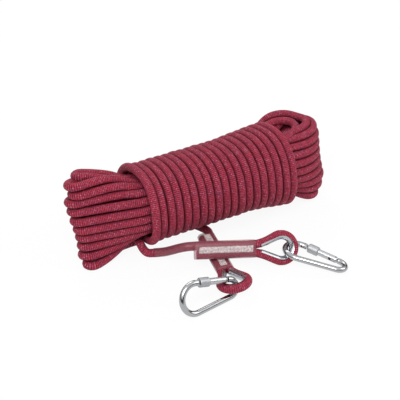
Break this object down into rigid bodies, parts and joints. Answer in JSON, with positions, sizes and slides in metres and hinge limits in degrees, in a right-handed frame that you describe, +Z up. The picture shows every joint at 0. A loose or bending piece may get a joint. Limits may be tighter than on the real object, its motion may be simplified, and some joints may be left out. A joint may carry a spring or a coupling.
{
  "type": "climbing rope",
  "caption": "Hanked climbing rope with wound waist and looped ends, sewn thimble eyes on its free ends and a screw-lock snap hook in each eye.",
  "frame": {"origin": "middle of the bounding box's base, on the floor the hank lies on", "axes": "+X along the hank from the near fanned end to the far one, +Z up, +Y from the sewn eyes to the hank"},
  "size_m": [0.338, 0.222, 0.1036],
  "materials": {
    "rope": "matt braided sheath",
    "core": "matt",
    "sleeve": "shrunk clear film",
    "thread": "satin stitched",
    "thimble": "polished",
    "hook": "polished",
    "pin": "satin",
    "spring": "drawn wire"
  },
  "bodies": {
    "rope": {"rope_hank": "rope", "hank_core": "core", "rope_end_a": "rope", "rope_end_b": "rope", "sleeve_a": "sleeve", "sleeve_b": "sleeve", "stitching_a": "thread", "stitching_b": "thread", "thimble_a": "thimble", "thimble_b": "thimble"},
    "hook_a": {"hook_body_a": "hook", "hinge_rivet_a": "pin", "latch_pin_a": "pin"},
    "gate_a": {"gate_a": "hook", "spring_a": "spring"},
    "nut_a": {"screw_nut_a": "hook"},
    "plunger_a": {"plunger_a": "pin"},
    "hook_b": {"hook_body_b": "hook", "hinge_rivet_b": "pin", "latch_pin_b": "pin"},
    "gate_b": {"gate_b": "hook", "spring_b": "spring"},
    "nut_b": {"screw_nut_b": "hook"},
    "plunger_b": {"plunger_b": "pin"}
  },
  "joints": [
    {"name": "hook_a_swing", "type": "hinge", "parent": "rope", "child": "hook_a", "pos_m": [0.04979, -0.04881, 0.01561], "axis": [0.7564, 0.6356, -0.1547], "range_deg": [-45, 0]},
    {"name": "hook_b_swing", "type": "hinge", "parent": "rope", "child": "hook_b", "pos_m": [-0.03618, -0.07941, 0.01156], "axis": [0.0934, 0.3881, 0.9169], "range_deg": [0, 20]},
    {"name": "gate_a_open", "type": "hinge", "parent": "hook_a", "child": "gate_a", "pos_m": [0.09419, -0.08703, 0.00528], "axis": [0.2134, -0.0161, 0.9768], "range_deg": [0, 25], "stiffness_Nm_per_rad": 0.05, "springref_deg": -22.92},
    {"name": "gate_b_open", "type": "hinge", "parent": "hook_b", "child": "gate_b", "pos_m": [-0.04948, -0.07651, 0.02356], "axis": [0.1379, -0.9171, 0.3742], "range_deg": [0, 25], "stiffness_Nm_per_rad": 0.05, "springref_deg": -22.92},
    {"name": "nut_a_travel", "type": "slide", "parent": "gate_a", "child": "nut_a", "axis": [-0.4976, 0.8586, 0.1229], "range_m": [-0.008, 0.004]},
    {"name": "nut_b_travel", "type": "slide", "parent": "gate_b", "child": "nut_b", "axis": [-0.9608, -0.0321, 0.2754], "range_m": [-0.008, 0.004]},
    {"name": "plunger_a_travel", "type": "slide", "parent": "gate_a", "child": "plunger_a", "axis": [-0.4976, 0.8586, 0.1229], "range_m": [0, 0.0013]},
    {"name": "plunger_b_travel", "type": "slide", "parent": "gate_b", "child": "plunger_b", "axis": [-0.9608, -0.0321, 0.2754], "range_m": [0, 0.0013]}
  ],
  "couplings": [
    {"joint": "plunger_a_travel", "follows": "gate_a_open", "m_per_rad": 0.00275},
    {"joint": "plunger_b_travel", "follows": "gate_b_open", "m_per_rad": 0.00275}
  ]
}
